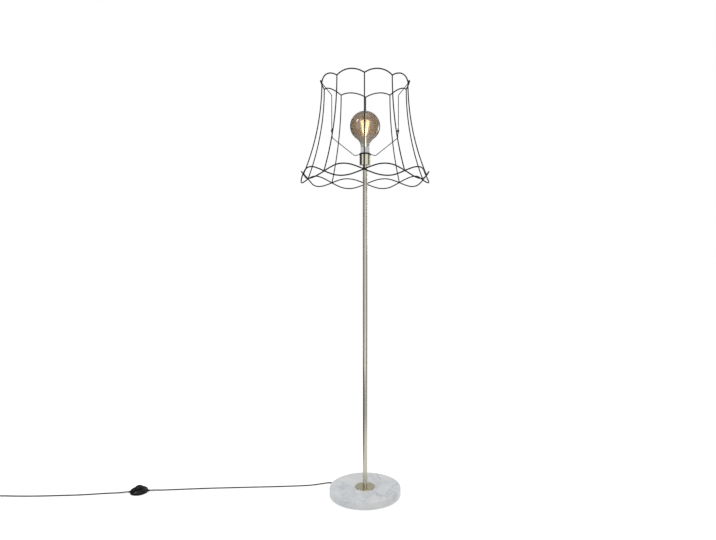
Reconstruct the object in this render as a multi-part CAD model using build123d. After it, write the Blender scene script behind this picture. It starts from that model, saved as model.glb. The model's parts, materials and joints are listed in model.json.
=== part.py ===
from build123d import *
import math
import os

# Wire cage floor lamp: a round stone base, a brass pole in three sections, a brass lamp
# holder, and an open wire cage that tilts on a thin two-armed carrier round the bulb.
# Lengths are in millimetres, angles in degrees. The origin is the centre of the base on
# the floor, +Z is up and -Y is the front. One rib of the cage stands at the front, and
# the carrier's arms stand at +X and -X.

# ---- Clearances ----
thread_gap = 0.05  # between a screwed piece and its thread, on the radius
sliding_gap = 0.1  # between pieces that slide or turn on each other
wire_gap = 0.06  # between the two wave wires where they cross
overcut = 1.0  # how far a cut runs past the faces that it opens

# ---- Base ----
base_diameter = 250.0
stone_thickness = 23.5
stone_rounding = 1.6
pad_diameter = 16.0
pad_height = 1.5
pad_circle_diameter = 212.0
pad_count = 4
recess_diameter = 46.0
recess_depth = 14.5
stone_hole_diameter = 11.0
channel_width = 6.4
channel_overlap = 4.0  # how far the channel's cut runs past both its ends
cord_exit_azimuth = 145.0
cord_exit_height = 3.9
grommet_length = 12.0
grommet_proud = 0.8
flange_diameter = 70.0
flange_thickness = 2.0
flange_rounding = 0.9

# ---- Hollow threaded rod and its washer and nut ----
rod_diameter = 10.0
rod_bore = 7.0
rod_below_nut = 1.0
rod_hold = 12.0
washer_diameter = 32.0
washer_thickness = 1.5
nut_across_flats = 14.0
nut_thickness = 3.0

# ---- Pole ----
pole_diameter = 16.0
pole_wall = 1.0
pole_edge_chamfer = 0.3
lower_section_length = 361.0
middle_section_length = 385.0
upper_section_length = 385.5
bush_length = 14.0
coupler_length = 32.0
coupler_bore = 9.0

# ---- Lamp holder ----
cup_diameter = 39.0
cup_height = 36.0
cup_wall = 0.8
cup_floor = 1.2
holder_base_thickness = 6.0
lead_slot_width = 5.0
lead_slot_depth = 2.6
barrel_web = 2.5
barrel_neck_diameter = 34.0
barrel_neck_drop = 3.0
socket_bore = 28.6
socket_mouth_diameter = 31.8
shell_wall = 0.7
shell_inner_diameter = 26.6
shell_length = 20.0
terminal_offset = 8.2
terminal_head_diameter = 5.0
terminal_head_height = 1.4
terminal_head_rounding = 0.5
terminal_shank_diameter = 2.6
terminal_shank_recess = 0.4  # of the shank's end in the lead slot
contact_thickness = 0.5
contact_width = 4.0
contact_pad = 1.5  # half the flat that meets the bulb's tip
contact_knee = 2.0  # from the screw's head to the tongue's bend
contact_skew = 0.3  # sideways step between the sloped strip's two faces
clamp_ring_diameter = 40.0
clamp_ring_height = 3.0
clamp_ring_chamfer = 0.6

# ---- Mains cable ----
cable_diameter = 4.0
cable_bend_radius = 6.5
core_diameter = 1.5
core_offset = 0.9
core_bend_radius = 1.4
cable_rise = 1.0  # how far the sheath reaches into the holder's base
core_overlap = 4.0  # of the two cores in the sheath's end
exit_lead = 16.0  # the cord's straight run out of the base

# ---- Bulb ----
cap_diameter = 26.2
cap_length = 29.0
cap_foot_bevel = 0.8
cap_foot_bevel_height = 1.0
cap_grip = 6.0  # how far the cap reaches up into the collar
cap_cone_height = 2.6
cap_cone_tip_diameter = 13.0
tip_diameter = 9.0
tip_height = 1.1
tip_rounding = 0.6
collar_diameter = 30.6
collar_height = 24.0
collar_flare = 0.5
bulb_seat_drop = 0.2  # of the collar's foot below the clamp ring's
bulb_neck_diameter = 31.0
globe_diameter = 107.0
globe_height = 98.5  # from the collar's foot to the middle of the globe
glass_wall = 1.2
glass_step = 0.3
skirt_gap = 0.2  # between the glass inside the collar and the cap's radius
neck_straight = 2.0  # of the neck above the collar
stem_foot_diameter = 22.0
stem_foot_height = 1.8
stem_flare_height = 14.0
stem_tip_bevel = 1.0
stem_diameter = 7.0
stem_height = 62.0
hub_diameter = 12.0
hub_thickness = 1.0
filament_count = 6
filament_diameter = 2.2
filament_rise = 50.0
filament_foot_gap = 0.9
filament_head_gap = 0.5
filament_spread_low = 4.6
filament_spread_high = 14.0
mast_diameter = 1.4
star_arm_width = 1.2
star_thickness = 0.8

# ---- Carrier ----
carrier_ring_diameter = 41.0
carrier_ring_thickness = 2.6
arm_wire = 2.8
arm_root_bite = 1.0  # of each lower arm into the carrier ring
arm_foot_span = 37.0  # from the axis to the foot of each lower arm's slope
arm_foot_drop = 4.0
arm_elbow_height = 58.6  # above the carrier ring's middle
arm_bend_radius = 7.0
pivot_span = 116.5  # from the axis to the middle of each pivot
pivot_height = 83.0  # above the carrier ring's middle
leaf_thickness = 2.0
leaf_width = 7.0
leaf_reach = 20.0
leaf_tail = 7.0  # from the pivot to the middle of the leaf's free end
leaf_tail_width = 4.6
flat_taper = 9.0
rivet_diameter = 3.0
rivet_head_diameter = 6.2
rivet_head_height = 2.0
rivet_head_rounding = 1.6

# ---- Cage ----
rib_count = 10
rib_wire = 4.0
ring_wire = 4.4
ring_radius = 155.5
ring_height = 160.3  # of the scallops' feet above the pivots
scallop_rise = 13.7
scallop_bulge = 1.0
scallop_foot_reach = 1.6
rim_radius = 220.2
rim_drop = 163.0  # of the wave wires' crossings below the pivots
wave_amplitude = 19.0
wave_bulge = 3.6
weld_bite = 0.5
arm_top_height = 126.0  # of the upper arms' outward bend above the pivots

# ---- Foot switch ----
switch_x = -801.2
switch_y = 11.3
switch_turn = 10.0
switch_length = 59.6
switch_width = 57.2
switch_wall = 2.0
switch_split_height = 8.0
switch_shoulder_height = 11.0
switch_shoulder_length = 55.0
switch_shoulder_width = 52.6
switch_top_height = 14.8
switch_top_length = 40.0
switch_top_width = 41.0
switch_foot_rounding = 1.8
switch_cord_height = 4.8
relief_length = 6.0
relief_inner_length = 6.0
relief_root_diameter = 7.2
relief_tip_diameter = 5.0
switch_lead = 14.0  # each cord's straight run out of the switch
button_diameter = 27.0
button_flange_diameter = 29.6
button_flange_height = 10.9
button_flange_thickness = 1.5
button_edge_height = 19.6
button_top_height = 25.4
button_wall = 1.8
block_length = 24.0
block_width = 17.0
block_height = 6.0
block_chamfer = 0.8
spring_diameter = 9.0
spring_wall = 0.8
screw_spread_x = 19.0
screw_spread_y = 10.0
screw_diameter = 2.6
screw_head_diameter = 4.8
screw_head_height = 1.6
screw_recess = 0.4  # of the head above the switch's sole
screw_reach = 2.6  # of the shank above the split
boss_diameter = 6.0
boss_root = 1.0  # height at which the lower bosses start, inside the sole
upper_boss_height = 4.2

# ---- Free cord: its coil and its plug ----
coil_start_x = -1292.0
coil_start_y = -20.5
coil_outer_radius = 28.8
coil_pitch = 4.6
coil_half_turns_in = 5
coil_half_turns_out = 4
coil_layer_rise = 4.85
coil_climb_inset = 2.07  # how much tighter the climb is than the innermost turn
coil_facets = 6
coil_corner_radius = 2.2  # of its six-sided section, whose area is the round cord's
plug_width = 35.3
plug_thickness = 13.7
plug_length = 24.0
plug_face_thickness = 9.0
plug_neck_width = 12.0
plug_neck_thickness = 9.0
plug_neck_length = 8.0
plug_relief_length = 22.0
plug_relief_tip = 4.6
plug_shoulder = 0.6  # the block's step round the end of its neck
pin_diameter = 4.0
pin_core_diameter = 3.0
pin_sleeve_diameter = 3.8
pin_sleeve_length = 10.0
pin_length = 19.0
pin_rounding = 1.2
pin_spacing = 18.6
pin_root = 6.0

# ---- Places that follow from the sizes above ----
stone_bottom = pad_height
stone_top = stone_bottom + stone_thickness
flange_top = stone_top + flange_thickness
recess_ceiling = stone_bottom + recess_depth
nut_top = recess_ceiling - washer_thickness
rod_bottom = nut_top - nut_thickness - rod_below_nut
pole_length = lower_section_length + middle_section_length + upper_section_length
pole_top = flange_top + pole_length
cup_top = pole_top + cup_height
holder_base_bottom = pole_top + cup_floor
web_bottom = holder_base_bottom + holder_base_thickness
web_top = web_bottom + barrel_web
carrier_bottom = cup_top + sliding_gap
carrier_middle = carrier_bottom + carrier_ring_thickness / 2
clamp_bottom = carrier_bottom + carrier_ring_thickness + sliding_gap
holder_top = clamp_bottom + clamp_ring_height
bulb_seat = clamp_bottom - bulb_seat_drop
pivot_z = carrier_middle + pivot_height
ring_z = pivot_z + ring_height
rim_z = pivot_z - rim_drop
apex_radius = ring_radius + scallop_bulge
apex_z = ring_z + scallop_rise
rib_pitch = 360.0 / rib_count
first_rib = -90.0
wave_offset = (ring_wire + wire_gap) / 2

MIN_Z = (Align.CENTER, Align.CENTER, Align.MIN)
MAX_Z = (Align.CENTER, Align.CENTER, Align.MAX)
SIDE_MIN_Z = (Align.MIN, Align.CENTER, Align.MIN)


def disc(diameter, bottom, height):
    """An upright round bar on the lamp's axis."""
    return Pos(0, 0, bottom) * Cylinder(diameter / 2, height, align=MIN_Z)


def drill(diameter, bottom, height):
    """A round cut on the lamp's axis, right through what stands between two heights."""
    return disc(diameter, bottom - overcut, height + 2 * overcut)


def tube(outer, inner, bottom, height):
    """An upright tube on the lamp's axis."""
    return disc(outer, bottom, height) - drill(inner, bottom, height)


def turned(points):
    """A solid turned round the lamp's axis from (radius, height) points."""
    outline = Plane.XZ * make_face(Polyline(*points, close=True))
    return revolve(outline, axis=Axis.Z)


def wire_along(path, start, direction, diameter):
    """A round wire that follows a path of lines and arcs."""
    return sweep(Plane(origin=start, z_dir=direction) * Circle(diameter / 2), path=path)


def largest(shape):
    """The main solid that is left after a cut."""
    return max(shape.solids(), key=lambda solid: solid.volume)


def mirrored(shape):
    """The same piece on the lamp's other side."""
    return mirror(shape, about=Plane.YZ)


def around(radius, azimuth, height):
    """A point from its distance to the axis, its azimuth and its height."""
    angle = math.radians(azimuth)
    return Vector(radius * math.cos(angle), radius * math.sin(angle), height)


def biarc(start, start_way, end, end_way, start_reach=None, end_reach=None):
    """Two arcs, smooth where they meet, that leave start and reach end in the given ways.
    A reach is the distance from an end to the corner of its arc's two tangents; with
    neither given the two arcs share one reach."""
    span = end - start
    if end_reach is not None:
        free = span.dot(start_way) + end_reach * (1 - start_way.dot(end_way))
        start_reach = (span.dot(span) - 2 * end_reach * span.dot(end_way)) / (2 * free)
    elif start_reach is not None:
        free = span.dot(end_way) + start_reach * (1 - start_way.dot(end_way))
        end_reach = (span.dot(span) - 2 * start_reach * span.dot(start_way)) / (2 * free)
    else:
        a = 2 * (start_way.dot(end_way) - 1)
        b = -2 * span.dot(start_way + end_way)
        c = span.dot(span)
        start_reach = (-b - math.sqrt(b * b - 4 * a * c)) / (2 * a)
        end_reach = start_reach
    first_corner = start + start_way * start_reach
    second_corner = end - end_way * end_reach
    bridge = second_corner - first_corner
    middle = first_corner + bridge * (start_reach / (start_reach + end_reach))
    return [
        TangentArc(start, middle, tangent=start_way),
        TangentArc(middle, end, tangent=bridge),
    ]


# ---- Base ----
def exit_frame(distance, height):
    """A frame on the cord channel's axis, with its local X pointing out of the base."""
    return Pos(*around(distance, cord_exit_azimuth, height)) * Rot(0, 0, cord_exit_azimuth)


def channel_form(width, start, length):
    """The channel's shape: straight sides to the stone's underside, and a round top."""
    depth = cord_exit_height - stone_bottom
    bar = Rot(0, 90, 0) * Cylinder(width / 2, length, align=MIN_Z)
    foot = Pos(0, 0, -depth) * Box(length, width, depth, align=SIDE_MIN_Z)
    return exit_frame(start, cord_exit_height) * (bar + foot)


def marble_base():
    slab = disc(base_diameter, stone_bottom, stone_thickness)
    slab = fillet(slab.edges(), stone_rounding)
    slab -= drill(stone_hole_diameter, stone_bottom, stone_thickness)
    slab -= disc(recess_diameter, stone_bottom - overcut, recess_depth + overcut)
    inside = recess_diameter / 2 - channel_overlap
    length = base_diameter / 2 + channel_overlap - inside
    cut = channel_form(channel_width, inside, length)
    return slab - cut - Pos(0, 0, -overcut) * cut


def foot_pads():
    circle = PolarLocations(pad_circle_diameter / 2, pad_count, start_angle=180 / pad_count)
    return [place * Cylinder(pad_diameter / 2, pad_height, align=MIN_Z) for place in circle]


def cord_grommet():
    start = base_diameter / 2 + grommet_proud - grommet_length
    body = channel_form(channel_width - 2 * sliding_gap, start, grommet_length)
    bore = Rot(0, 90, 0) * Cylinder(cable_diameter / 2 + thread_gap, grommet_length, align=MIN_Z)
    return body - exit_frame(start, cord_exit_height) * bore


def base_flange():
    plate = disc(flange_diameter, stone_top, flange_thickness)
    plate = fillet(plate.edges().group_by(Axis.Z)[-1], flange_rounding)
    return plate - drill(rod_diameter + 2 * thread_gap, stone_top, flange_thickness)


def base_nipple():
    return tube(rod_diameter, rod_bore, rod_bottom, flange_top + rod_hold - rod_bottom)


def base_washer():
    hole = rod_diameter + 2 * sliding_gap
    return tube(washer_diameter, hole, nut_top, washer_thickness)


def base_nut():
    hexagon = RegularPolygon(nut_across_flats / 2, 6, major_radius=False)
    bottom = nut_top - nut_thickness
    nut = Pos(0, 0, bottom) * extrude(hexagon, nut_thickness)
    return nut - drill(rod_diameter + 2 * thread_gap, bottom, nut_thickness)


# ---- Pole ----
def pole_section(bottom, length):
    """A length of tube whose outer edges are broken, so that each joint shows as a fine groove."""
    bar = disc(pole_diameter, bottom, length)
    bar = chamfer(bar.edges(), pole_edge_chamfer)
    return bar - drill(pole_diameter - 2 * pole_wall, bottom, length)


def pole_insert(bottom, length, bore):
    """A turned piece that is screwed into the pole's bore."""
    outer = pole_diameter - 2 * pole_wall - 2 * thread_gap
    return tube(outer, bore, bottom, length)


def pole_end_bushes():
    bore = rod_diameter + 2 * thread_gap
    foot = pole_insert(flange_top, bush_length, bore)
    head = pole_insert(pole_top - bush_length, bush_length, bore)
    return [foot, head]


def pole_couplers():
    first_seam = flange_top + lower_section_length
    seams = (first_seam, first_seam + middle_section_length)
    return [pole_insert(seam - coupler_length / 2, coupler_length, coupler_bore) for seam in seams]


# ---- Lamp holder ----
def holder_nipple():
    top = holder_base_bottom + holder_base_thickness - lead_slot_depth
    return tube(rod_diameter, rod_bore, pole_top - rod_hold, top - pole_top + rod_hold)


def holder_cup():
    cup = disc(cup_diameter, pole_top, cup_height)
    cup -= disc(cup_diameter - 2 * cup_wall, pole_top + cup_floor, cup_height)
    return cup - drill(rod_diameter + 2 * thread_gap, pole_top, cup_floor)


def holder_base():
    outer = cup_diameter - 2 * cup_wall - 2 * sliding_gap
    body = disc(outer, holder_base_bottom, holder_base_thickness)
    body -= drill(rod_diameter + 2 * thread_gap, holder_base_bottom, holder_base_thickness)
    slot_length = 2 * terminal_offset + 2 * terminal_shank_diameter
    slot = Box(slot_length, lead_slot_width, lead_slot_depth, align=MAX_Z)
    return body - Pos(0, 0, web_bottom) * slot


def holder_barrel():
    outer = cup_diameter - 2 * cup_wall - 2 * sliding_gap
    shoulder = cup_top - barrel_neck_drop
    body = disc(outer, web_bottom, shoulder - web_bottom)
    body += disc(barrel_neck_diameter, shoulder, holder_top - shoulder)
    body -= disc(socket_bore, web_top, holder_top - web_top + overcut)
    body -= disc(socket_mouth_diameter, bulb_seat - sliding_gap, clamp_ring_height + 2 * overcut)
    for side in (-1, 1):
        hole = drill(terminal_shank_diameter + 2 * thread_gap, web_bottom, barrel_web)
        body -= Pos(side * terminal_offset, 0, 0) * hole
    return body


def thread_shell():
    bottom = web_top + contact_thickness
    return tube(shell_inner_diameter + 2 * shell_wall, shell_inner_diameter, bottom, shell_length)


def bulb_tip_bottom():
    """Underside of the tip contact of the bulb's cap."""
    return bulb_seat + cap_grip - cap_length - cap_cone_height - tip_height


def holder_contacts():
    """A sprung tongue under the bulb's tip, and a flat strip under the threaded shell."""
    tongue_top = bulb_tip_bottom() - sliding_gap
    foot = terminal_offset + terminal_head_diameter / 2
    knee = terminal_head_diameter / 2 + contact_knee
    outline = [
        (-foot, web_top),
        (-knee, web_top),
        (-contact_pad, tongue_top - contact_thickness),
        (contact_pad, tongue_top - contact_thickness),
        (contact_pad, tongue_top),
        (-contact_pad - contact_skew, tongue_top),
        (-knee - contact_skew, web_top + contact_thickness),
        (-foot, web_top + contact_thickness),
    ]
    profile = Plane.XZ * make_face(Polyline(*outline, close=True))
    tongue = extrude(profile, contact_width / 2, both=True)
    reach = shell_inner_diameter / 2 + shell_wall
    start = terminal_offset - terminal_head_diameter / 2
    strip = Box(reach - start, contact_width, contact_thickness, align=SIDE_MIN_Z)
    strip = Pos(start, 0, web_top) * strip
    hole = drill(terminal_shank_diameter + 2 * thread_gap, web_top, contact_thickness)
    holes = [Pos(side * terminal_offset, 0, 0) * hole for side in (-1, 1)]
    return [tongue - holes[0], strip - holes[1]]


def terminal_screws():
    head = Cylinder(terminal_head_diameter / 2, terminal_head_height, align=MIN_Z)
    shank_length = contact_thickness + barrel_web + lead_slot_depth - terminal_shank_recess
    shank = Cylinder(terminal_shank_diameter / 2, shank_length, align=MAX_Z)
    screw = fillet(head.edges().group_by(Axis.Z)[-1], terminal_head_rounding) + shank
    height = web_top + contact_thickness
    return [Pos(side * terminal_offset, 0, height) * screw for side in (-1, 1)]


def clamp_ring():
    inner = barrel_neck_diameter + 2 * thread_gap
    ring = disc(clamp_ring_diameter, clamp_bottom, clamp_ring_height)
    ring = chamfer(ring.edges().group_by(Axis.Z)[-1], clamp_ring_chamfer)
    return ring - drill(inner, clamp_bottom, clamp_ring_height)


def inner_cable():
    """The cable from the base's rim up the pole, with its two cores at the terminals."""
    split = holder_base_bottom + cable_rise
    exit_point = around(base_diameter / 2 + grommet_proud, cord_exit_azimuth, cord_exit_height)
    path = FilletPolyline(
        exit_point,
        (0, 0, cord_exit_height),
        (0, 0, split),
        radius=cable_bend_radius,
    )
    inward = around(-1, cord_exit_azimuth, 0)
    cable = wire_along(path, exit_point, inward, cable_diameter)
    turn_height = web_bottom - lead_slot_depth / 2
    for side in (-1, 1):
        start = (side * core_offset, 0, split - core_overlap)
        end = (side * (terminal_offset - terminal_shank_diameter / 2 - sliding_gap), 0, turn_height)
        corner = (side * core_offset, 0, turn_height)
        core = FilletPolyline(start, corner, end, radius=core_bend_radius)
        cable += wire_along(core, start, (0, 0, 1), core_diameter)
    return cable


# ---- Bulb ----
def bulb_outline(inset):
    """The glass outline, drawn inwards by inset: globe, hollow throat and neck."""
    globe = globe_diameter / 2 - inset
    centre = bulb_seat + globe_height
    neck = bulb_neck_diameter / 2 - inset
    throat_z = bulb_seat + collar_height + neck_straight
    drop = centre - throat_z
    throat = (drop**2 + neck**2 - globe**2) / (2 * (globe - neck))
    reach = globe / (globe + throat)
    join = ((neck + throat) * reach, centre - drop * reach)
    shoulder = bulb_seat + collar_height + glass_step + inset
    skirt = cap_diameter / 2 - inset - skirt_gap
    bottom = bulb_seat + cap_grip + glass_step
    dome = CenterArc((0, centre), globe, 90, -90 - math.degrees(math.atan2(drop, neck + throat)))
    hollow = RadiusArc(join, (neck, throat_z), -throat)
    rest = Polyline((neck, throat_z), (neck, shoulder), (skirt, shoulder), (skirt, bottom), (0, bottom))
    axis = Line((0, bottom), (0, centre + globe))
    return Plane.XZ * make_face([dome, hollow, rest, axis])


def bulb_glass():
    outside = revolve(bulb_outline(0), axis=Axis.Z)
    inside = revolve(bulb_outline(glass_wall), axis=Axis.Z)
    bore = cap_diameter - 2 * glass_wall - 2 * skirt_gap
    mouth = disc(bore, bulb_seat, cap_grip + 2 * overcut)
    return outside - inside - mouth


def bulb_collar():
    bore = cap_diameter / 2 + sliding_gap
    top = bulb_seat + collar_height
    foot = collar_diameter / 2
    return turned([(bore, bulb_seat), (foot, bulb_seat), (foot + collar_flare, top), (bore, top)])


def bulb_cap():
    top = bulb_seat + cap_grip
    bottom = top - cap_length
    return turned([
        (0, bottom - cap_cone_height),
        (cap_cone_tip_diameter / 2, bottom - cap_cone_height),
        (cap_diameter / 2 - cap_foot_bevel, bottom),
        (cap_diameter / 2, bottom + cap_foot_bevel_height),
        (cap_diameter / 2, top),
        (0, top),
    ])


def cap_contact():
    button = disc(tip_diameter, bulb_tip_bottom(), tip_height)
    return fillet(button.edges().group_by(Axis.Z)[0], tip_rounding)


def stem_top():
    return bulb_seat + cap_grip + stem_height


def bulb_stem():
    bottom = bulb_seat + cap_grip + glass_step
    return turned([
        (0, bottom),
        (stem_foot_diameter / 2, bottom),
        (stem_foot_diameter / 2, bottom + stem_foot_height),
        (stem_diameter / 2, bottom + stem_flare_height),
        (stem_diameter / 2, stem_top() - stem_tip_bevel),
        (stem_diameter / 2 - stem_tip_bevel, stem_top()),
        (0, stem_top()),
    ])


def filament_frame():
    """A hub on the stem, a thin mast, and a star that holds the filaments' upper ends."""
    foot = stem_top()
    star_bottom = foot + hub_thickness + filament_rise
    frame = disc(hub_diameter, foot, hub_thickness)
    frame += disc(mast_diameter, foot, star_bottom + star_thickness - foot)
    reach = filament_spread_high + filament_diameter / 2
    spoke = Box(reach, star_arm_width, star_thickness, align=SIDE_MIN_Z)
    for index in range(filament_count):
        frame += Pos(0, 0, star_bottom) * Rot(0, 0, index * 360 / filament_count) * spoke
    return frame


def led_filaments():
    bottom = stem_top() + hub_thickness
    sticks = []
    for index in range(filament_count):
        azimuth = index * 360 / filament_count
        low = around(filament_spread_low, azimuth, bottom + filament_foot_gap)
        high = around(filament_spread_high, azimuth, bottom + filament_rise - filament_head_gap)
        sticks.append(wire_along(Line(low, high), low, high - low, filament_diameter))
    return sticks


# ---- Carrier and the cage's upper arms ----
def carrier_ring():
    inner = barrel_neck_diameter + 2 * sliding_gap
    return tube(carrier_ring_diameter, inner, carrier_bottom, carrier_ring_thickness)


def leaf_x(level):
    """Middle of an arm's flattened end: level -1 is the lower arm's, 1 the upper arm's."""
    return pivot_span + level * (leaf_thickness + sliding_gap) / 2


def pivot_leaf(level):
    """An arm's flattened end: a tapered leaf round the rivet, running into the wire."""
    tip = level * leaf_reach
    tail = -level * leaf_tail
    outline = make_hull([
        *Circle(leaf_width / 2).edges(),
        *(Pos(0, tip) * Circle(arm_wire / 2)).edges(),
        *(Pos(0, tail) * Circle(leaf_tail_width / 2)).edges(),
    ])
    side_view = Plane(origin=(leaf_x(level), 0, pivot_z), x_dir=(0, 1, 0), z_dir=(1, 0, 0))
    leaf = extrude(side_view * outline, leaf_thickness / 2, both=True)
    taper = Cone(arm_wire / 2, leaf_thickness / 2, flat_taper, align=MIN_Z)
    taper = Pos(leaf_x(level), 0, pivot_z + tip) * Rot(0 if level < 0 else 180, 0, 0) * taper
    return leaf + taper


def pivot_hole():
    grip = 2 * leaf_thickness + sliding_gap
    bar = Cylinder(rivet_diameter / 2 + thread_gap, grip + 2 * overcut)
    return Pos(pivot_span, 0, pivot_z) * Rot(0, 90, 0) * bar


def lower_arm(ring):
    middle = leaf_x(-1)
    start = (carrier_ring_diameter / 2 - arm_root_bite, 0, carrier_middle)
    end = (middle, 0, pivot_z - leaf_reach)
    foot = (arm_foot_span, 0, carrier_middle - arm_foot_drop)
    elbow = (middle, 0, carrier_middle + arm_elbow_height)
    path = FilletPolyline(start, foot, elbow, end, radius=[arm_bend_radius, arm_bend_radius])
    way = Vector(*foot) - Vector(*start)
    arm = wire_along(path, start, way, arm_wire)
    return largest(arm + pivot_leaf(-1) - pivot_hole() - ring)


def upper_arm(ring):
    middle = leaf_x(1)
    start = (middle, 0, pivot_z + leaf_reach)
    bend = (middle, 0, pivot_z + arm_top_height)
    end = (apex_radius, 0, apex_z)
    path = FilletPolyline(start, bend, end, radius=arm_bend_radius)
    arm = wire_along(path, start, (0, 0, 1), arm_wire)
    return largest(arm + pivot_leaf(1) - pivot_hole() - ring)


def pivot_rivets():
    """A headed pin through both leaves of each pivot, with a domed head at either end."""
    grip = 2 * leaf_thickness + 2 * sliding_gap
    shank = Cylinder(rivet_diameter / 2, grip)
    dome = fillet(
        Cylinder(rivet_head_diameter / 2, rivet_head_height, align=MIN_Z).edges().group_by(Axis.Z)[-1],
        rivet_head_rounding,
    )
    rivet = shank + Pos(0, 0, grip / 2) * dome + Rot(180, 0, 0) * Pos(0, 0, grip / 2) * dome
    right = Pos(pivot_span, 0, pivot_z) * Rot(0, 90, 0) * rivet
    return [right, mirrored(right)]


# ---- Cage ----
def top_ring():
    """Ten scallops: wide arcs that bulge up and out, with tight bends at the ribs."""
    side = rib_pitch / 2
    left = around(apex_radius, first_rib - side, apex_z)
    foot = around(ring_radius, first_rib, ring_z)
    right = around(apex_radius, first_rib + side, apex_z)
    left_way = around(1, first_rib - side + 90, 0)
    foot_way = around(1, first_rib + 90, 0)
    right_way = around(1, first_rib + side + 90, 0)
    edges = biarc(left, left_way, foot, foot_way, end_reach=scallop_foot_reach)
    edges += biarc(foot, foot_way, right, right_way, start_reach=scallop_foot_reach)
    scallop = wire_along(Wire(edges), left, left_way, ring_wire)
    ring = scallop
    for index in range(1, rib_count):
        ring += Rot(0, 0, index * rib_pitch) * scallop
    return ring


def wave_ring(phase):
    """A wire that waves up and down past every rib. Phase 1 runs outside the crossings
    and rises after the first rib; phase -1 runs inside them and falls."""
    lobes = rib_count / 2

    def point(angle):
        swing = math.sin(math.radians(lobes * angle))
        ease = 1 - swing**2
        radius = rim_radius + wave_bulge * swing**2 + phase * wave_offset * ease
        return around(radius, first_rib + angle, rim_z + phase * wave_amplitude * swing)

    def way(angle):
        swing = math.sin(math.radians(lobes * angle))
        pace = lobes * math.cos(math.radians(lobes * angle))
        radius = rim_radius + wave_bulge * swing**2 + phase * wave_offset * (1 - swing**2)
        outward = 2 * swing * pace * (wave_bulge - phase * wave_offset)
        step = around(outward, first_rib + angle, phase * wave_amplitude * pace)
        step += around(radius, first_rib + angle + 90, 0)
        return step.normalized()

    edges = []
    quarter = rib_pitch / 2
    for index in range(4):
        low, high = index * quarter, (index + 1) * quarter
        edges += biarc(point(low), way(low), point(high), way(high))
    period = wire_along(Wire(edges), point(0), way(0), ring_wire)
    ring = period
    for index in range(1, rib_count // 2):
        ring += Rot(0, 0, index * 2 * rib_pitch) * period
    return ring


def rib(azimuth, rings):
    """A rib that drops from a scallop's foot and flares out to a crossing of the waves.
    Its ends are coped to the wires that they are welded to."""
    top = around(ring_radius, azimuth, ring_z - weld_bite)
    bottom = around(rim_radius, azimuth, rim_z + weld_bite)
    path = TangentArc(top, bottom, tangent=(0, 0, -1))
    bar = wire_along(path, top, (0, 0, -1), rib_wire)
    for ring in rings:
        bar -= ring
    return largest(bar)


# ---- Foot switch ----
def switch_place():
    return Pos(switch_x, switch_y, 0) * Rot(0, 0, switch_turn)


def oval(length, width, height):
    return Pos(0, 0, height) * Ellipse(length / 2, width / 2)


def upper_form(inset):
    """The domed upper half, drawn inwards by inset."""
    grow = -2 * inset
    shoulder = switch_shoulder_height - inset / 2
    return loft([
        oval(switch_length + grow, switch_width + grow, switch_split_height),
        oval(switch_shoulder_length + grow, switch_shoulder_width + grow, shoulder),
        oval(switch_top_length + grow, switch_top_width + grow, switch_top_height - inset),
    ])


def screw_spots():
    return [(side * screw_spread_x, side * screw_spread_y) for side in (-1, 1)]


def relief_bar(gap):
    """The two moulded cord reliefs: a neck held in the shells and a tapered tail."""
    neck_length = relief_inner_length
    neck = Cylinder(relief_root_diameter / 2 + gap, neck_length, align=MAX_Z)
    tail = Cone(relief_root_diameter / 2 + gap, relief_tip_diameter / 2 + gap, relief_length, align=MIN_Z)
    shape = neck + tail
    height = switch_cord_height
    right = Pos(switch_length / 2, 0, height) * Rot(0, 90, 0) * shape
    left = Pos(-switch_length / 2, 0, height) * Rot(0, -90, 0) * shape
    return [right, left]


def switch_lower_shell():
    shell = extrude(Ellipse(switch_length / 2, switch_width / 2), switch_split_height)
    shell = fillet(shell.edges().group_by(Axis.Z)[0], switch_foot_rounding)
    hollow = Ellipse(switch_length / 2 - switch_wall, switch_width / 2 - switch_wall)
    shell -= Pos(0, 0, switch_wall) * extrude(hollow, switch_split_height)
    well_depth = screw_recess + screw_head_height
    for x, y in screw_spots():
        shell += Pos(x, y, 0) * disc(boss_diameter, boss_root, switch_split_height - boss_root)
        shell -= Pos(x, y, 0) * drill(screw_diameter + 2 * thread_gap, 0, switch_split_height)
        shell -= Pos(x, y, 0) * disc(screw_head_diameter + 2 * sliding_gap, -overcut, well_depth + overcut)
    for bar in relief_bar(thread_gap):
        shell -= bar
    return switch_place() * shell


def switch_upper_shell():
    shell = upper_form(0) - upper_form(switch_wall)
    for x, y in screw_spots():
        shell += Pos(x, y, 0) * disc(boss_diameter, switch_split_height, upper_boss_height)
        hole = disc(screw_diameter + 2 * thread_gap, switch_split_height - overcut, upper_boss_height)
        shell -= Pos(x, y, 0) * hole
    shell -= drill(button_diameter + 4 * sliding_gap, switch_split_height, switch_top_height)
    for bar in relief_bar(thread_gap):
        shell -= bar
    return switch_place() * shell


def switch_reliefs():
    return [switch_place() * bar for bar in relief_bar(0)]


def switch_block():
    block = Box(block_length, block_width, block_height, align=MIN_Z)
    block = chamfer(block.edges().group_by(Axis.Z)[-1], block_chamfer)
    return switch_place() * Pos(0, 0, switch_wall) * block


def switch_screws():
    screws = []
    for x, y in screw_spots():
        screw = disc(screw_head_diameter, screw_recess, screw_head_height)
        screw += disc(screw_diameter, boss_root, switch_split_height + screw_reach - boss_root)
        screws.append(switch_place() * Pos(x, y, 0) * screw)
    return screws


def button_spring():
    spring_bottom = switch_wall + block_height
    inner = spring_diameter - 2 * spring_wall
    body = tube(spring_diameter, inner, spring_bottom, button_roof() - spring_bottom - sliding_gap)
    return switch_place() * body


def button_roof():
    """Underside of the button's top at its middle."""
    return button_edge_height - button_wall / 2


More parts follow.
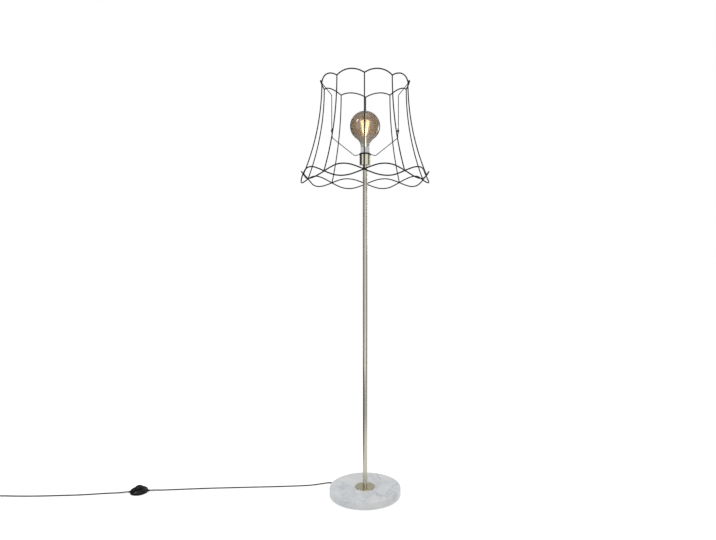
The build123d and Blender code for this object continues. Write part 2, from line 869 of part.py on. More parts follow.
def switch_button():
    radius = button_diameter / 2
    outline = Polyline(
        (0, button_top_height),
        (0, button_roof()),
        (radius - button_wall, button_roof()),
        (radius - button_wall, button_flange_height),
        (button_flange_diameter / 2, button_flange_height),
        (button_flange_diameter / 2, button_flange_height + button_flange_thickness),
        (radius, button_flange_height + button_flange_thickness),
        (radius, button_edge_height),
    )
    dome = TangentArc((0, button_top_height), (radius, button_edge_height), tangent=(1, 0))
    return switch_place() * revolve(Plane.XZ * make_face([outline, dome]), axis=Axis.Z)


# ---- Free cord ----
corner_share = 0.45  # of the shorter run that an arc takes up at each corner
gap_step = 1.5  # between the points at which the coil's gap is measured


def corner_radii(points):
    """The largest even radius for each corner of a route, from its runs and its turn."""
    radii = []
    for before, corner, after in zip(points, points[1:], points[2:]):
        run_in = Vector(*corner) - Vector(*before)
        run_out = Vector(*after) - Vector(*corner)
        turn = math.radians(run_in.get_angle(run_out))
        shorter = min(run_in.length, run_out.length)
        radii.append(corner_share * shorter / math.tan(turn / 2))
    return radii


def cord_tube(name, points):
    radii = corner_radii(points)
    path = FilletPolyline(*points, radius=radii)
    start = Vector(*points[0])
    tube_body = wire_along(path, start, Vector(*points[1]) - start, cable_diameter)
    expected = math.pi * cable_diameter**2 / 4 * path.length
    share = tube_body.volume / expected
    print(name, "length", round(path.length), "least radius", round(min(radii)))
    print(name, "volume share", round(share, 4))
    return tube_body


def switch_end(side):
    """Where a cord meets the switch's relief, and the way out of the switch there."""
    reach = switch_length / 2 + relief_length
    turn = math.radians(switch_turn)
    way = Vector(side * math.cos(turn), side * math.sin(turn), 0)
    return Vector(switch_x, switch_y, switch_cord_height) + way * reach, way


def lying(x, y):
    """A point of the cord's middle line where it lies on the floor."""
    return (x, y, cable_diameter / 2)


def cord_to_switch():
    start = around(base_diameter / 2 + grommet_proud, cord_exit_azimuth, cord_exit_height)
    straight = start + around(exit_lead, cord_exit_azimuth, 0)
    end, way = switch_end(1)
    lead = end + way * switch_lead
    points = [
        tuple(start),
        tuple(straight),
        lying(-137, 88),
        lying(-163, 77),
        lying(-196, 66),
        lying(-240, 60),
        lying(-292, 56.5),
        lying(-345, 52.5),
        lying(-398, 50.3),
        lying(-452, 47),
        lying(-505, 43.6),
        lying(-556, 41),
        lying(-607, 36.6),
        lying(-657, 32),
        lying(-702, 27.4),
        lying(-728, 25.4),
        tuple(lead),
        tuple(end),
    ]
    return cord_tube("cord_to_switch", points)


def coil_start():
    return Vector(coil_start_x, coil_start_y, cable_diameter / 2)


def cord_to_coil():
    start, way = switch_end(-1)
    lead = start + way * switch_lead
    points = [
        tuple(start),
        tuple(lead),
        lying(-876, 2.2),
        lying(-908, 0.6),
        lying(-949, -6.4),
        lying(-1000, -13.6),
        lying(-1052, -16.5),
        lying(-1105, -20.6),
        lying(-1158, -22.4),
        lying(-1210, -22.6),
        lying(-1255, -20.5),
        (coil_start_x, coil_start_y, cable_diameter / 2),
    ]
    return cord_tube("cord_to_coil", points)


def coil_path():
    """Half turns whose radius shrinks steadily on the floor, a climb on the innermost
    half turn, half turns that grow again on top, and a quarter turn out to the plug."""
    place = coil_start()
    way = Vector(-1, 0, 0)
    lead = Vector(-cable_diameter, 0, 0)
    edges = [Line(place, place + lead)]
    place += lead
    step = coil_pitch / 2
    for index in range(coil_half_turns_in):
        radius = coil_outer_radius - index * step
        edges.append(JernArc(place, way, radius, 180))
        place = edges[-1] @ 1
        way = -way
    inner_radius = coil_outer_radius - (coil_half_turns_in - 1) * step
    climb_radius = inner_radius - coil_climb_inset
    left = Vector(-way.Y, way.X, 0)
    top = place + left * (2 * climb_radius) + Vector(0, 0, coil_layer_rise)
    edges += biarc(place, way, top, -way)
    place, way = top, -way
    for index in range(coil_half_turns_out):
        radius = inner_radius + index * step if index else climb_radius + step / 2
        edges.append(upper_turn(place, way, radius, 180))
        place = edges[-1] @ 1
        way = -way
    radius = inner_radius + coil_half_turns_out * step
    edges.append(upper_turn(place, way, radius, 90))
    place = edges[-1] @ 1
    way = Vector(-way.Y, way.X, 0)
    edges.append(Line(place, place + way * cable_diameter))
    return edges, place + way * cable_diameter, way


def upper_turn(place, way, radius, sweep_angle):
    """A flat left turn that starts at a point off the floor."""
    return Pos(0, 0, place.Z) * JernArc((place.X, place.Y), (way.X, way.Y), radius, sweep_angle)


def least_gap(edges):
    """The least gap of the coil to itself, between points over a quarter turn apart."""
    line = []
    run = 0.0
    for edge in edges:
        count = max(2, int(edge.length / gap_step))
        for index in range(count):
            line.append((run + edge.length * index / count, edge @ (index / count)))
        run += edge.length
    apart = coil_outer_radius * math.pi / 2
    gaps = [
        (second - first).length
        for position, (along, first) in enumerate(line)
        for further, second in line[position:]
        if further - along > apart
    ]
    return min(gaps) - 2 * coil_corner_radius


def cord_coil(edges):
    start = coil_start()
    section = RegularPolygon(coil_corner_radius, coil_facets)
    plane = Plane(origin=start, x_dir=(0, 1, 0), z_dir=(-1, 0, 0))
    path = Wire(edges)
    print("cord_coil length", round(path.length), "least gap to itself", round(least_gap(edges), 2))
    return sweep(plane * section, path=path)


def plug_frame(place, way):
    """A frame at the cord's end, with its local Z along the plug and X level."""
    return Plane(origin=place, x_dir=way.cross(Vector(0, 0, 1)), z_dir=way).location


def plug_body(place, way):
    neck_start = plug_relief_length
    body_start = neck_start + plug_neck_length
    face = body_start + plug_length
    relief = Cone(plug_relief_tip / 2, plug_neck_thickness / 2, neck_start, align=MIN_Z)
    neck = loft([
        Pos(0, 0, neck_start) * Ellipse(plug_neck_width / 2, plug_neck_thickness / 2),
        Pos(0, 0, body_start) * Ellipse(plug_width / 2 - 2 * plug_shoulder, plug_face_thickness / 2),
    ])
    flats = Polyline(
        (-plug_width / 2, 0),
        (-plug_width / 2 + (plug_thickness - plug_face_thickness), plug_thickness / 2),
        (plug_width / 2 - (plug_thickness - plug_face_thickness), plug_thickness / 2),
        (plug_width / 2, 0),
        (plug_width / 2 - (plug_thickness - plug_face_thickness), -plug_thickness / 2),
        (-plug_width / 2 + (plug_thickness - plug_face_thickness), -plug_thickness / 2),
        close=True,
    )
    block = Pos(0, 0, body_start) * extrude(make_face(flats), plug_length)
    body = relief + neck + block
    for side in (-1, 1):
        hole = Cylinder(pin_sleeve_diameter / 2 + thread_gap, pin_root, align=MAX_Z)
        body -= Pos(side * pin_spacing / 2, 0, face) * hole
    return plug_frame(place, way) * body


def pin_pair(place, way, pin):
    """Two of a pin's pieces side by side, on the plug's face."""
    face = plug_relief_length + plug_neck_length + plug_length
    frame = plug_frame(place, way)
    return [frame * Pos(side * pin_spacing / 2, 0, face) * pin for side in (-1, 1)]


def plug_pins(place, way):
    """Pins with a bare rounded tip, and a thinner core under the sleeve."""
    tip = Cylinder(pin_diameter / 2, pin_length - pin_sleeve_length, align=MIN_Z)
    tip = fillet(tip.edges().group_by(Axis.Z)[-1], pin_rounding)
    core = Cylinder(pin_core_diameter / 2, pin_root + pin_sleeve_length, align=MAX_Z)
    return pin_pair(place, way, Pos(0, 0, pin_sleeve_length) * (tip + core))


def pin_sleeves(place, way):
    sleeve = Cylinder(pin_sleeve_diameter / 2, pin_root + pin_sleeve_length, align=MAX_Z)
    sleeve -= Cylinder(pin_core_diameter / 2 + thread_gap, pin_root + pin_sleeve_length, align=MAX_Z)
    return pin_pair(place, way, Pos(0, 0, pin_sleeve_length) * sleeve)


def build():
    """Every piece of the lamp by its name; a list holds the separate solids of a group."""
    carrier = carrier_ring()
    ring = top_ring()
    waves = [wave_ring(1), wave_ring(-1)]
    seam = flange_top + lower_section_length
    right_lower, right_upper = lower_arm(carrier), upper_arm(ring)
    edges, plug_place, plug_way = coil_path()
    pieces = {
        "marble_base": marble_base(),
        "foot_pads": foot_pads(),
        "base_flange": base_flange(),
        "base_nipple": base_nipple(),
        "base_washer": base_washer(),
        "base_nut": base_nut(),
        "cord_grommet": cord_grommet(),
        "pole_lower": pole_section(flange_top, lower_section_length),
        "pole_middle": pole_section(seam, middle_section_length),
        "pole_upper": pole_section(seam + middle_section_length, upper_section_length),
        "pole_end_bushes": pole_end_bushes(),
        "pole_couplers": pole_couplers(),
        "holder_nipple": holder_nipple(),
        "holder_cup": holder_cup(),
        "holder_base": holder_base(),
        "holder_barrel": holder_barrel(),
        "thread_shell": thread_shell(),
        "holder_contacts": holder_contacts(),
        "terminal_screws": terminal_screws(),
        "clamp_ring": clamp_ring(),
        "inner_cable": inner_cable(),
        "bulb_glass": bulb_glass(),
        "bulb_collar": bulb_collar(),
        "bulb_cap": bulb_cap(),
        "cap_contact": cap_contact(),
        "bulb_stem": bulb_stem(),
        "filament_frame": filament_frame(),
        "led_filaments": led_filaments(),
        "carrier_ring": carrier,
        "lower_arm_right": right_lower,
        "lower_arm_left": mirrored(right_lower),
        "pivot_rivets": pivot_rivets(),
        "upper_arm_right": right_upper,
        "upper_arm_left": mirrored(right_upper),
        "top_ring": ring,
        "wave_ring_outer": waves[0],
        "wave_ring_inner": waves[1],
        "cord_to_switch": cord_to_switch(),
        "switch_lower_shell": switch_lower_shell(),
        "switch_upper_shell": switch_upper_shell(),
        "switch_reliefs": switch_reliefs(),
        "switch_block": switch_block(),
        "switch_screws": switch_screws(),
        "button_spring": button_spring(),
        "switch_button": switch_button(),
        "cord_to_coil": cord_to_coil(),
        "cord_coil": cord_coil(edges),
        "plug_body": plug_body(plug_place, plug_way),
        "plug_pins": plug_pins(plug_place, plug_way),
        "pin_sleeves": pin_sleeves(plug_place, plug_way),
    }
    # The waves swap places at every rib, so ribs come in two alternating fits.
    fitted = [rib(first_rib + index * rib_pitch, [ring] + waves) for index in range(2)]
    for index in range(rib_count):
        turn = Rot(0, 0, (index - index % 2) * rib_pitch)
        pieces[f"rib_{index + 1:02d}"] = turn * fitted[index % 2]
    return pieces


os.makedirs("parts", exist_ok=True)
for name, piece in build().items():
    solids = piece if isinstance(piece, list) else [piece]
    export_step(Compound([solid for shape in solids for solid in shape.solids()]), f"parts/{name}.step")
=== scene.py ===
import json
import math

import bpy
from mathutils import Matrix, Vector


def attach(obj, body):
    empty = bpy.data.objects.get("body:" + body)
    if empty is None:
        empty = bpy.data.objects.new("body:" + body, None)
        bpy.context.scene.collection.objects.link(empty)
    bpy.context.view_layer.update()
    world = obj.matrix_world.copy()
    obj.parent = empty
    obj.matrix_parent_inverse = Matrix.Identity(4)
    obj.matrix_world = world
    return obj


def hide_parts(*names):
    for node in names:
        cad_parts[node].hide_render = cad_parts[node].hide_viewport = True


# Looks of the wire cage floor lamp. Everything is in metres, in the part's own frame:
# the origin is the centre of the base on the floor, +Z is up and -Y is the front.
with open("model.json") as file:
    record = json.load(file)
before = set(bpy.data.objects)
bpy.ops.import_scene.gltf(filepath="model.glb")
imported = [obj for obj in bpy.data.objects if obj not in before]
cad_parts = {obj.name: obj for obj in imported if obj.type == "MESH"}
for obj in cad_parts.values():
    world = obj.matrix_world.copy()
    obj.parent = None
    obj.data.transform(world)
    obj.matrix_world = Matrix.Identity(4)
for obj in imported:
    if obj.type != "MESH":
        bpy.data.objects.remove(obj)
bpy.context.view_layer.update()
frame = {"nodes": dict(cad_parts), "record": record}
nodes = frame["nodes"]
scene = bpy.context.scene
scene.view_settings.view_transform = "Standard"


# ---- Camera: level, with a small shift for the photograph's framing ----
camera_data = bpy.data.cameras.new("camera")
camera_data.lens = 28.156
camera_data.sensor_width = 36.0
camera_data.shift_x = -0.0202
camera_data.shift_y = -0.0369
camera = bpy.data.objects.new("camera", camera_data)
camera.location = (0.026, -1.974, 0.882)
camera.rotation_euler = (math.radians(90), 0, 0)
scene.collection.objects.link(camera)
scene.camera = camera


# ---- Shader helpers ----
mix_color_inputs = (6, 7)  # a mix node also has sockets for numbers and vectors
mix_color_output = 2
grain_range = (0.3, 0.7)  # the noise values between which a grain does all its work


def shader_tree(name):
    """A new material, its node tree and its principled shader."""
    material = bpy.data.materials.new(name)
    material.use_nodes = True
    tree = material.node_tree
    return material, tree, tree.nodes["Principled BSDF"]


def feed(tree, socket, value):
    """Links a socket to another node's output, or sets it to a fixed value."""
    if isinstance(value, bpy.types.NodeSocket):
        tree.links.new(value, socket)
    else:
        socket.default_value = value


def dress(tree, shader, values):
    """Feeds the shader's sockets by their names."""
    for name, value in values.items():
        feed(tree, shader.inputs[name], value)


def place_node(tree):
    """Positions in metres in the part's frame."""
    return tree.nodes.new("ShaderNodeTexCoord").outputs["Object"]


def stretched(tree, source, scale):
    """Positions scaled along each axis: a small scale draws a noise out along its axis."""
    mapping = tree.nodes.new("ShaderNodeMapping")
    mapping.inputs["Scale"].default_value = scale
    tree.links.new(source, mapping.inputs["Vector"])
    return mapping.outputs["Vector"]


def noise(tree, source, scale, detail=4.0, roughness=0.5, output="Fac"):
    node = tree.nodes.new("ShaderNodeTexNoise")
    node.inputs["Scale"].default_value = scale
    node.inputs["Detail"].default_value = detail
    node.inputs["Roughness"].default_value = roughness
    tree.links.new(source, node.inputs["Vector"])
    return node.outputs[output]


def math_node(tree, kind, operation, *values):
    """One operation on other nodes' outputs and fixed values."""
    node = tree.nodes.new(kind)
    node.operation = operation
    for socket, value in zip(node.inputs, values):
        feed(tree, socket, value)
    return node.outputs[0]


def value_math(tree, operation, *values):
    return math_node(tree, "ShaderNodeMath", operation, *values)


def vector_math(tree, operation, *values):
    return math_node(tree, "ShaderNodeVectorMath", operation, *values)


def ramp(tree, source, stops):
    """A colour ramp from (position, colour) stops."""
    node = tree.nodes.new("ShaderNodeValToRGB")
    elements = node.color_ramp.elements
    for element, (position, color) in zip(elements, (stops[0], stops[-1])):
        element.position = position
        element.color = (*color, 1.0)
    for position, color in stops[1:-1]:
        elements.new(position).color = (*color, 1.0)
    tree.links.new(source, node.inputs["Fac"])
    return node.outputs["Color"]


def level(tree, source, low, high, start=0.0, end=1.0):
    """Maps a value from start..end to low..high."""
    node = tree.nodes.new("ShaderNodeMapRange")
    node.inputs["From Min"].default_value = start
    node.inputs["From Max"].default_value = end
    node.inputs["To Min"].default_value = low
    node.inputs["To Max"].default_value = high
    tree.links.new(source, node.inputs["Value"])
    return node.outputs["Result"]


def grained(tree, grain, limits):
    """A value between two limits that follows a grain."""
    low, high = limits
    start, end = grain_range
    return level(tree, grain, low, high, start, end)


def mixed(tree, factor, first, second):
    """A mix of two colours, each a fixed one or another node's output."""
    node = tree.nodes.new("ShaderNodeMix")
    node.data_type = "RGBA"
    tree.links.new(factor, node.inputs["Factor"])
    for index, color in zip(mix_color_inputs, (first, second)):
        if isinstance(color, tuple):
            color = (*color, 1.0)
        feed(tree, node.inputs[index], color)
    return node.outputs[mix_color_output]


def bumped(tree, shader, height, strength, distance):
    node = tree.nodes.new("ShaderNodeBump")
    node.inputs["Strength"].default_value = strength
    node.inputs["Distance"].default_value = distance
    tree.links.new(height, node.inputs["Height"])
    tree.links.new(node.outputs["Normal"], shader.inputs["Normal"])


# ---- Materials ----
marble_warp = (0.09, 0.09, 0.09)  # metres that the stone's pattern is pushed at most
tint_scale = 0.12  # of a coating's colour, as a share of its skin's scale
glass_index = 1.45
clear_share = 0.93  # of the clear glass's colour where it is darkest
warm_share = (1.0, 0.93, 0.80)  # of the filaments' colour where it is warmest
# colour of the painted glow in the clear glass, standing in for the filaments' light caught in it
painted_glow_color = (1.0, 0.90, 0.74, 1.0)
neck_height = 1.232  # up to here the globe is pale
tint_height = 1.262  # from here on it has its full tint
lengthwise = (5, 5, 0.3)  # a grain's scale along each axis
even = (4, 4, 4)


def marble():
    """Pale stone in soft clouds, with two sets of grey veins that fade in and out."""
    material, tree, shader = shader_tree("marble")
    place = place_node(tree)
    warp = noise(tree, place, scale=9.0, detail=3.0, output="Color")
    warped = vector_math(tree, "MULTIPLY_ADD", warp, marble_warp, place)

    def vein(scale, width, offset):
        """Thin wandering lines where a noise crosses its middle value."""
        moved = vector_math(tree, "ADD", warped, (offset, -offset, offset * 0.5))
        value = noise(tree, moved, scale, detail=5.0, roughness=0.55)
        apart = value_math(tree, "ABSOLUTE", value_math(tree, "SUBTRACT", value, 0.5))
        return level(tree, apart, 1.0, 0.0, end=width)

    cloud = noise(tree, warped, scale=17.0, detail=7.0, roughness=0.62)
    body = ramp(tree, cloud, [
        (0.28, (0.54, 0.57, 0.60)),
        (0.42, (0.70, 0.73, 0.755)),
        (0.56, (0.77, 0.79, 0.805)),
        (0.74, (0.85, 0.855, 0.865)),
    ])
    patch = level(tree, noise(tree, warped, scale=8.0, detail=3.0), 0.0, 0.35, start=0.52, end=0.70)
    body = mixed(tree, patch, body, (0.79, 0.765, 0.73))
    fade = noise(tree, place, scale=22.0, detail=2.0)
    broad_fade = level(tree, fade, 0.0, 1.0, start=0.40, end=0.62)
    broad = value_math(tree, "MULTIPLY", vein(scale=11.0, width=0.030, offset=0.0), broad_fade)
    color = mixed(tree, broad, body, (0.52, 0.55, 0.59))
    fine_fade = level(tree, fade, 0.7, 0.0, start=0.38, end=0.60)
    fine = value_math(tree, "MULTIPLY", vein(scale=26.0, width=0.016, offset=0.7), fine_fade)
    dress(tree, shader, {
        "Base Color": mixed(tree, fine, color, (0.63, 0.655, 0.68)),
        "Roughness": level(tree, cloud, 0.10, 0.24),
        "Specular IOR Level": 0.55,
    })
    bumped(tree, shader, noise(tree, place, scale=340.0, detail=3.0), strength=0.05, distance=0.0002)
    return material


def brass(name, low, high, rough, grain):
    """Lacquered brass with fine marks, which a lengthwise grain draws out along the lamp."""
    material, tree, shader = shader_tree(name)
    place = place_node(tree)
    cloud = noise(tree, stretched(tree, place, (1.0, 1.0, 0.25)), scale=38.0)
    marks = noise(tree, stretched(tree, place, grain), scale=60.0, detail=5.0, roughness=0.6)
    dress(tree, shader, {
        "Base Color": mixed(tree, cloud, low, high),
        "Roughness": grained(tree, marks, rough),
        "Metallic": 1.0,
    })
    bumped(tree, shader, marks, strength=0.03, distance=0.0001)
    return material


def metal(name, low, high, rough):
    """Plain metal of the small parts, with a fine even grain."""
    material, tree, shader = shader_tree(name)
    cloud = noise(tree, place_node(tree), scale=240.0, detail=5.0, roughness=0.6)
    dress(tree, shader, {
        "Base Color": mixed(tree, cloud, low, high),
        "Roughness": grained(tree, cloud, rough),
        "Metallic": 1.0,
    })
    bumped(tree, shader, cloud, strength=0.08, distance=0.0001)
    return material


def coated(name, low, high, rough, scale, depth, specular=0.5):
    """Paint, plastic, rubber or glaze: a fine skin whose colour and gloss vary a little."""
    material, tree, shader = shader_tree(name)
    place = place_node(tree)
    cloud = noise(tree, place, scale * tint_scale)
    skin = noise(tree, place, scale, roughness=0.6)
    dress(tree, shader, {
        "Base Color": mixed(tree, cloud, low, high),
        "Roughness": grained(tree, skin, rough),
        "Specular IOR Level": specular,
    })
    bumped(tree, shader, skin, strength=0.25, distance=depth)
    return material


def blown(tree, shader, place):
    """The slight waves of blown glass."""
    bumped(tree, shader, noise(tree, place, scale=45.0, detail=2.0), strength=0.04, distance=0.0004)


def clear_glass():
    """Clear glass with a painted warm glow: its emission stands in for the filaments' light caught in
    the glass.
    """
    material, tree, shader = shader_tree("glass_clear")
    place = place_node(tree)
    cloud = noise(tree, place, scale=30.0, detail=2.0)
    color = (0.95, 0.96, 0.96)
    deep = tuple(part * clear_share for part in color)
    dress(tree, shader, {
        "Base Color": mixed(tree, cloud, deep, color),
        "Roughness": 0.02,
        "IOR": glass_index,
        "Transmission Weight": 1.0,
        # painted glow: emission stands in for the filaments' light caught in the glass
        "Emission Color": painted_glow_color,
        "Emission Strength": 1.1,
    })
    blown(tree, shader, place)
    return material


def smoked_glass():
    """Smoke-brown globe whose tint fades to a pale grey at the neck."""
    material, tree, shader = shader_tree("glass_smoke")
    place = place_node(tree)
    split = tree.nodes.new("ShaderNodeSeparateXYZ")
    tree.links.new(place, split.inputs["Vector"])
    cloud = noise(tree, place, scale=30.0, detail=2.0)
    brown = mixed(tree, cloud, (0.48, 0.39, 0.30), (0.54, 0.45, 0.355))
    fade = level(tree, split.outputs["Z"], 0.0, 1.0, neck_height, tint_height)
    dress(tree, shader, {
        "Base Color": mixed(tree, fade, (0.58, 0.60, 0.57), brown),
        "Roughness": 0.24,
        "IOR": glass_index,
        "Transmission Weight": 1.0,
        "Coat Weight": 1.0,
        "Coat Roughness": 0.03,
        "Coat IOR": 1.6,
    })
    blown(tree, shader, place)
    return material


def glowing():
    """The filaments' phosphor skin, a little uneven along each stick."""
    material, tree, shader = shader_tree("filament_glow")
    grain = noise(tree, place_node(tree), scale=900.0, detail=3.0)
    color = (1.0, 0.84, 0.55)
    warm = tuple(part * share for part, share in zip(color, warm_share))
    skin = mixed(tree, grain, warm, color)
    dress(tree, shader, {
        "Base Color": skin,
        "Emission Color": skin,
        "Emission Strength": 6.5,
        "Roughness": 0.5,
    })
    bumped(tree, shader, grain, strength=0.2, distance=0.0001)
    return material


looks = {
    "marble": marble(),
    "brass_satin": brass(
        "brass_satin", low=(0.62, 0.60, 0.50), high=(0.68, 0.66, 0.56),
        rough=(0.12, 0.20), grain=lengthwise,
    ),
    "brass_polished": brass(
        "brass_polished", low=(0.66, 0.62, 0.48), high=(0.72, 0.68, 0.54),
        rough=(0.05, 0.10), grain=even,
    ),
    "contact_brass": metal(
        "contact_brass", low=(0.60, 0.47, 0.24), high=(0.70, 0.56, 0.30), rough=(0.22, 0.34),
    ),
    "steel_zinc": metal(
        "steel_zinc", low=(0.50, 0.51, 0.53), high=(0.62, 0.63, 0.65), rough=(0.25, 0.40),
    ),
    "cap_nickel": metal(
        "cap_nickel", low=(0.66, 0.65, 0.62), high=(0.76, 0.75, 0.72), rough=(0.10, 0.20),
    ),
    "wire_black": coated(
        "wire_black", low=(0.004, 0.004, 0.004), high=(0.009, 0.009, 0.009),
        rough=(0.34, 0.48), scale=700, depth=0.00004, specular=0.32,
    ),
    "plastic_black": coated(
        "plastic_black", low=(0.007, 0.007, 0.008), high=(0.012, 0.012, 0.013),
        rough=(0.14, 0.24), scale=500, depth=0.00002,
    ),
    "rubber_black": coated(
        "rubber_black", low=(0.016, 0.016, 0.016), high=(0.026, 0.026, 0.026),
        rough=(0.55, 0.75), scale=900, depth=0.00006, specular=0.3,
    ),
    "cord_black": coated(
        "cord_black", low=(0.008, 0.008, 0.009), high=(0.014, 0.014, 0.015),
        rough=(0.38, 0.52), scale=600, depth=0.00004, specular=0.35,
    ),
    "ceramic_white": coated(
        "ceramic_white", low=(0.78, 0.78, 0.78), high=(0.84, 0.84, 0.84),
        rough=(0.14, 0.24), scale=300, depth=0.00002,
    ),
    "glass_smoke": smoked_glass(),
    "glass_clear": clear_glass(),
    "filament_glow": glowing(),
}
# The flange is yellower than the pole, and the lower pole section is a little duller.
own_look = {
    "base_flange": brass(
        "brass_gold", low=(0.64, 0.58, 0.42), high=(0.72, 0.66, 0.49),
        rough=(0.22, 0.34), grain=even,
    ),
    "pole_lower": brass(
        "brass_satin_lower", low=(0.61, 0.59, 0.49), high=(0.67, 0.65, 0.55),
        rough=(0.18, 0.28), grain=lengthwise,
    ),
}
slot_of = {entry["node"]: entry["material_slot"] for entry in frame["record"]["subparts"]}
for name, piece in nodes.items():
    for slot in piece.material_slots:
        slot.material = own_look.get(name, looks[slot_of[name]])


# ---- Free cord ----
cord_radius = 0.002
exit_height = 0.0039
switch_middle = Vector((-0.8012, 0.0113, 0.0))
switch_turn = math.radians(10)
switch_reach = 0.0358  # from the switch's middle to the end of a cord relief
switch_cord_height = 0.0048
switch_lead = 0.014  # each cord's straight run out of the switch


def cord_curve(name, points):
    """A round cord on one smooth spline through the pull of the given points."""
    data = bpy.data.curves.new(name, "CURVE")
    data.dimensions = "3D"
    data.bevel_depth = cord_radius
    data.bevel_resolution = 6
    data.resolution_u = 6
    data.use_fill_caps = True
    spline = data.splines.new("NURBS")
    spline.points.add(len(points) - 1)
    for target, point in zip(spline.points, points):
        target.co = (*point, 1.0)
    spline.order_u = 3
    spline.use_endpoint_u = True
    piece = bpy.data.objects.new(name, data)
    scene.collection.objects.link(piece)
    data.materials.append(looks["cord_black"])
    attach(piece, "stand")
    return piece


def lying(x, y):
    """A point of the cord's middle line where it lies on the floor."""
    return (x, y, cord_radius)


switch_way = Vector((math.cos(switch_turn), math.sin(switch_turn), 0.0))
rise = Vector((0, 0, switch_cord_height))
right_end = switch_middle + switch_way * switch_reach + rise
left_end = switch_middle - switch_way * switch_reach + rise
base_exit = (-0.10305, 0.07216, exit_height)
first_route = [
    base_exit,
    (-0.11616, 0.08133, exit_height),
    lying(-0.137, 0.088),
    lying(-0.163, 0.077),
    lying(-0.196, 0.066),
    lying(-0.240, 0.060),
    lying(-0.292, 0.0565),
    lying(-0.345, 0.0525),
    lying(-0.398, 0.0503),
    lying(-0.452, 0.047),
    lying(-0.505, 0.0436),
    lying(-0.556, 0.041),
    lying(-0.607, 0.0366),
    lying(-0.657, 0.032),
    lying(-0.702, 0.0274),
    lying(-0.728, 0.0254),
    tuple(right_end + switch_way * switch_lead),
    tuple(right_end),
]
second_route = [
    tuple(left_end),
    tuple(left_end - switch_way * switch_lead),
    lying(-0.876, 0.0022),
    lying(-0.908, 0.0006),
    lying(-0.949, -0.0064),
    lying(-1.000, -0.0136),
    lying(-1.052, -0.0165),
    lying(-1.105, -0.0206),
    lying(-1.158, -0.0224),
    lying(-1.210, -0.0226),
    lying(-1.255, -0.0205),
    lying(-1.292, -0.0205),
]

# The coil goes on from there: half turns that shrink on the floor, a climb, and half turns
# that grow on top of them, so that each lies beside the one before it.
coil_start_x = -1.296
coil_start_y = -0.0205
coil_outer_radius = 0.0288
coil_step = 0.0023  # between the radii of half turns that follow each other
coil_half_turns_in = 5
coil_half_turns_out = 4
coil_climb = 0.00485
coil_climb_inset = 0.00207  # how much tighter the climb is than the innermost half turn
half_turn_points = 8
plug_lead = 0.004  # the coil's straight run into the plug


def left_turn(start, heading, radius, count, climb=0.0):
    """Points that pull the spline round a left turn, from a start where it heads along X.
    They lie just outside the turn, and half_turn_points of them make half a turn."""
    x, y, height = start
    span = math.pi / half_turn_points
    reach = radius / math.cos(span / 2)
    points = []
    for index in range(count):
        turn = span * (index + 0.5)
        along = heading * reach * math.sin(turn)
        across = heading * (radius - reach * math.cos(turn))
        points.append((x + along, y + across, height + climb * (index + 0.5) / count))
    return points


def coil_points():
    """The coil's half turns, then a quarter turn and a short straight run to the plug."""
    inner_radius = coil_outer_radius - (coil_half_turns_in - 1) * coil_step
    climb_radius = inner_radius - coil_climb_inset
    half_turns = [(coil_outer_radius - index * coil_step, 0.0) for index in range(coil_half_turns_in)]
    half_turns += [(climb_radius, coil_climb), (climb_radius + coil_step / 2, 0.0)]
    half_turns += [(inner_radius + index * coil_step, 0.0) for index in range(1, coil_half_turns_out)]
    points = []
    y = coil_start_y
    height = cord_radius
    heading = -1
    for radius, climb in half_turns:
        points += left_turn((coil_start_x, y, height), heading, radius, half_turn_points, climb)
        y += 2 * heading * radius
        height += climb
        heading = -heading
    radius = coil_outer_radius
    points += left_turn((coil_start_x, y, height), heading, radius, half_turn_points // 2)
    end_x = coil_start_x + heading * radius
    end_y = y + heading * radius
    return points + [(end_x, end_y, height), (end_x, end_y + heading * plug_lead, height)]


second_route += coil_points()

first_cord = cord_curve("cord_first", first_route)
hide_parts("cord_to_switch")
second_cord = cord_curve("cord_second", second_route)
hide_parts("cord_to_coil", "cord_coil")


# ---- Floor, studio cards and light ----
white = (1.0, 1.0, 1.0, 1.0)
black = (0.0, 0.0, 0.0, 1.0)
floor_grey = (0.80, 0.80, 0.80, 1.0)
floor_range = (-30.0, 30.0)
flag_low = 0.002  # just over the level cards on the floor
flag_high = 3.2


def background_rays(tree):
    """1 for the rays that see the background: from the camera, in gloss and through glass."""
    path = tree.nodes.new("ShaderNodeLightPath")
    seen = path.outputs["Is Camera Ray"]
    for ray in ("Is Glossy Ray", "Is Transmission Ray"):
        seen = value_math(tree, "MAXIMUM", seen, path.outputs[ray])
    return seen


def panel(name, corners, material):
    """A flat stage piece."""
    mesh = bpy.data.meshes.new(name)
    mesh.from_pydata(corners, [], [(0, 1, 2, 3)])
    mesh.materials.append(material)
    piece = bpy.data.objects.new(name, mesh)
    scene.collection.objects.link(piece)
    return piece


def level_corners(x_range, y_range, height):
    left, right = x_range
    front, back = y_range
    return [(left, front, height), (right, front, height), (right, back, height), (left, back, height)]


def floor_material():
    """Pale floor that shows the background's white, and the object's shadow."""
    material, tree, shader = shader_tree("floor")
    dress(tree, shader, {
        "Base Color": floor_grey,
        "Roughness": 0.9,
        "Specular IOR Level": 0.0,
        "Emission Color": white,
        "Emission Strength": level(tree, background_rays(tree), 0.0, 0.50),
    })
    return material


def card(name, corners, shade):
    """A grey studio card that only gloss shows."""
    material, tree, shader = shader_tree(name)
    dress(tree, shader, {
        "Base Color": black,
        "Specular IOR Level": 0.0,
        "Emission Color": white,
        "Emission Strength": shade,
    })
    piece = panel(name, corners, material)
    piece.visible_camera = False
    piece.visible_diffuse = False
    piece.visible_transmission = False
    piece.visible_volume_scatter = False
    piece.visible_shadow = False


def level_card(name, x_range, y_range, height, shade):
    """A card that lies close over the floor or hangs level above the lamp."""
    card(name, level_corners(x_range, y_range, height), shade)


def flag(name, start, end, shade):
    """An upright card along the line from one floor point to another."""
    card(name, [(*start, flag_low), (*end, flag_low), (*end, flag_high), (*start, flag_high)], shade)


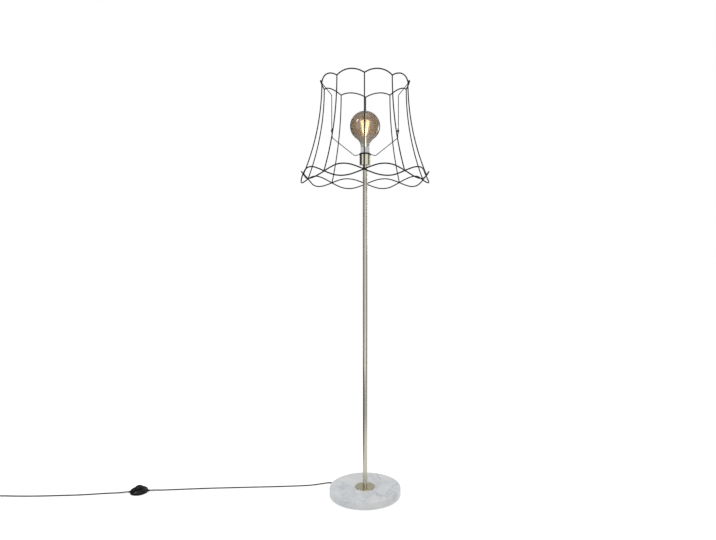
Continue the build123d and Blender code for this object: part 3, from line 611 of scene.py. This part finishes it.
def softbox(name, place, target, size, power, gloss=True):
    """A rectangular light that faces its target, and that gloss shows or doesn't."""
    data = bpy.data.lights.new(name, "AREA")
    data.shape = "RECTANGLE"
    data.size, data.size_y = size
    data.energy = power
    light = bpy.data.objects.new(name, data)
    light.location = place
    way = Vector(target) - Vector(place)
    light.rotation_euler = way.to_track_quat("-Z", "Y").to_euler()
    scene.collection.objects.link(light)
    light.visible_glossy = gloss


panel("floor", level_corners(floor_range, floor_range, 0.0), floor_material())

# Grey cards stand and lie round the lamp, so that its brass and glass have something to mirror.
card_left = -2.3
card_right = 2.3
card_back = 2.9
level_card("flag_floor", (card_left, card_right), (-1.58, card_back), height=0.0010, shade=0.46)
level_card("flag_floor_left", (card_left, -0.45), (-1.20, card_back), height=0.0013, shade=0.14)
level_card("flag_floor_near", (-0.28, 0.65), (-0.70, 0.50), height=0.0016, shade=0.90)
level_card("flag_top", (card_left, card_right), (-1.90, card_back), height=3.25, shade=0.30)

left_corner = (-2.36, 3.0)
left_joint = (-1.10, 3.0)
right_joint = (1.10, 3.0)
right_corner = (2.40, 3.0)
flag("flag_left", (-2.36, -0.90), left_corner, shade=0.07)
flag("flag_back_left", left_corner, left_joint, shade=0.16)
flag("flag_back", left_joint, right_joint, shade=0.50)
flag("flag_back_right", right_joint, right_corner, shade=0.10)
flag("flag_right", right_corner, (1.80, -1.00), shade=0.24)
flag("flag_front", (-1.50, -2.00), (0.16, -2.60), shade=0.40)

world = bpy.data.worlds.new("world")
scene.world = world
world.use_nodes = True
world_tree = world.node_tree
background = world_tree.nodes["Background"]
background.inputs["Color"].default_value = white
world_strength = level(world_tree, background_rays(world_tree), 0.65, 1.0)
world_tree.links.new(world_strength, background.inputs["Strength"])

softbox("key", (-1.92, -0.80, 2.60), target=(0, 0, 1.1), size=(0.50, 0.65), power=7)
softbox("side", (1.80, 1.35, 1.25), target=(0, 0, 1.2), size=(0.30, 0.80), power=4.5)
softbox("low", (0.6, -2.6, 1.2), target=(0, 0, 0.3), size=(1.2, 0.9), power=3, gloss=False)
softbox("top", (0.2, -0.4, 3.4), target=(0, 0, 0), size=(1.4, 1.4), power=14, gloss=False)
